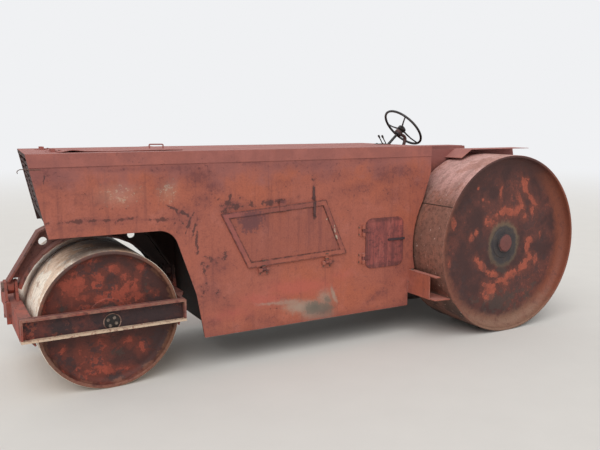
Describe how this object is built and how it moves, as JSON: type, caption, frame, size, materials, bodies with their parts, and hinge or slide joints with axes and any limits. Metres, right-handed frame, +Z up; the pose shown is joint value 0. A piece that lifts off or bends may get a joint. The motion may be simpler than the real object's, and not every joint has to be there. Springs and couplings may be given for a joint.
{
  "type": "road roller",
  "caption": "Static steel-drum road roller with a split front roll in a steered yoke under a goose-neck, two tall rear drums, slab sides with hatches and an open seat",
  "frame": {"origin": "on the ground under the middle of the roller's bounding box", "axes": "+X forward, +Y to the roller's left, +Z up"},
  "size_m": [4.9499, 1.85, 2.0063],
  "materials": {
    "body_paint": "flaking oxide-red paint over rust",
    "drum_tread": "rolled bare steel with brown rust",
    "rear_drum_steel": "dark purple-brown rust with orange-red paint left",
    "dark_iron": "greasy dark iron",
    "axle_steel": "dull worn steel",
    "radiator_metal": "dull black",
    "seat_cover": "cracked dark red cover",
    "wheel_plastic": "matt black"
  },
  "bodies": {
    "frame": {"belly_pan": "body_paint", "control_levers": "radiator_metal", "dash": "body_paint", "engine": "dark_iron", "engine_bearers": "dark_iron", "fender_left": "body_paint", "fender_right": "body_paint", "front_bulkhead": "body_paint", "front_deck": "body_paint", "grille": "body_paint", "hood_top": "body_paint", "operator_floor": "body_paint", "pedals": "radiator_metal", "radiator": "radiator_metal", "rear_axle": "dark_iron", "rear_hitch": "body_paint", "rear_panel": "body_paint", "rear_scraper_left": "body_paint", "rear_scraper_right": "body_paint", "rear_wall_left": "body_paint", "rear_wall_right": "body_paint", "seat_back": "seat_cover", "seat_box": "body_paint", "seat_cushion": "seat_cover", "side_plate_left": "body_paint", "side_plate_right": "body_paint", "steering_column": "radiator_metal", "wheelhouse_left": "body_paint", "wheelhouse_right": "body_paint"},
    "steering": {"saddle": "body_paint", "rock_pins": "axle_steel", "yoke_side_left": "body_paint", "yoke_side_right": "body_paint", "yoke_front_beam": "body_paint", "yoke_rear_beam": "body_paint", "front_axle": "axle_steel", "scraper_front": "body_paint", "scraper_rear": "body_paint"},
    "front_drum_left": {"front_drum_left": "drum_tread"},
    "front_drum_right": {"front_drum_right": "drum_tread"},
    "rear_drum_left": {"rear_drum_left": "rear_drum_steel"},
    "rear_drum_right": {"rear_drum_right": "rear_drum_steel"},
    "steering_wheel": {"steering_wheel": "wheel_plastic"},
    "hood_lid": {"hood_lid": "body_paint"},
    "engine_hatch_left": {"engine_hatch_left": "body_paint"},
    "engine_hatch_right": {"engine_hatch_right": "body_paint"},
    "locker_hatch_left": {"locker_hatch_left": "body_paint"},
    "locker_hatch_right": {"locker_hatch_right": "body_paint"}
  },
  "joints": [
    {"name": "front_steering", "type": "hinge", "parent": "frame", "child": "steering", "pos_m": [1.825, 0, 1.19], "axis": [0, 0, 1], "range_deg": [-30, 30]},
    {"name": "front_drum_left_roll", "type": "hinge", "parent": "steering", "child": "front_drum_left", "pos_m": [1.825, 0, 0.5], "axis": [0, 1, 0], "continuous": true},
    {"name": "rear_drum_left_roll", "type": "hinge", "parent": "frame", "child": "rear_drum_left", "pos_m": [-1.675, 0, 0.8], "axis": [0, 1, 0], "continuous": true},
    {"name": "front_drum_right_roll", "type": "hinge", "parent": "steering", "child": "front_drum_right", "pos_m": [1.825, 0, 0.5], "axis": [0, 1, 0], "continuous": true},
    {"name": "rear_drum_right_roll", "type": "hinge", "parent": "frame", "child": "rear_drum_right", "pos_m": [-1.675, 0, 0.8], "axis": [0, 1, 0], "continuous": true},
    {"name": "steering_wheel_turn", "type": "hinge", "parent": "frame", "child": "steering_wheel", "pos_m": [-1.137, 0, 1.838], "axis": [-0.7373, 0, 0.6756], "continuous": true},
    {"name": "hood_lid_hinge", "type": "hinge", "parent": "frame", "child": "hood_lid", "pos_m": [2.11, 0, 1.692], "axis": [0, 1, 0], "range_deg": [0, 100]},
    {"name": "engine_hatch_left_hinge", "type": "hinge", "parent": "frame", "child": "engine_hatch_left", "pos_m": [0.33975, 0.562, 0.743], "axis": [-1, 0, 0], "range_deg": [0, 140]},
    {"name": "locker_hatch_left_hinge", "type": "hinge", "parent": "frame", "child": "locker_hatch_left", "pos_m": [-0.313, 0.562, 0.859], "axis": [0, 0, -1], "range_deg": [0, 120]},
    {"name": "engine_hatch_right_hinge", "type": "hinge", "parent": "frame", "child": "engine_hatch_right", "pos_m": [0.33975, -0.562, 0.743], "axis": [1, 0, 0], "range_deg": [0, 140]},
    {"name": "locker_hatch_right_hinge", "type": "hinge", "parent": "frame", "child": "locker_hatch_right", "pos_m": [-0.313, -0.562, 0.859], "axis": [0, 0, 1], "range_deg": [0, 120]}
  ]
}
